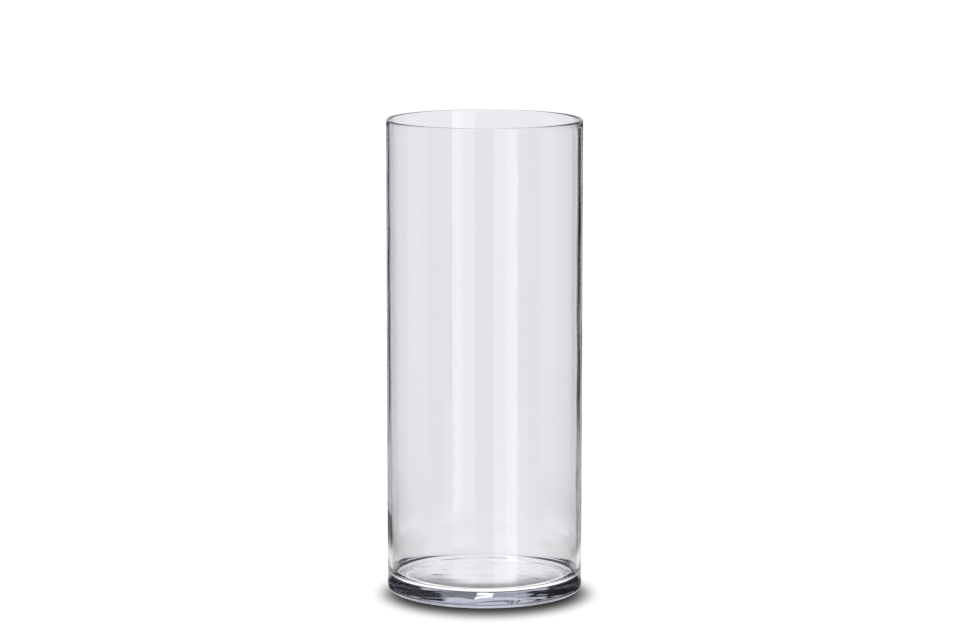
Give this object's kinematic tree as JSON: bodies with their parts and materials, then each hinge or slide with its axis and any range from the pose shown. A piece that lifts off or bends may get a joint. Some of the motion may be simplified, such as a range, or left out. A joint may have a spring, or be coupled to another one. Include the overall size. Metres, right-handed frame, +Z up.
{
  "type": "glass cylinder vase",
  "caption": "Tall straight-sided clear glass cylinder vase with an open mouth, thin wall, thick base and rounded inner corner; stands on a flat foot ring and holds water and cut flowers.",
  "frame": {"origin": "centre of the foot, on the surface that the vase stands on", "axes": "+Z up along the vase's own axis, towards the open mouth; X and Y are alike, because the vase is round"},
  "size_m": [0.125, 0.125, 0.304],
  "materials": {
    "clear_glass": "polished"
  },
  "bodies": {
    "root": {"glass_body": "clear_glass"}
  },
  "joints": []
}
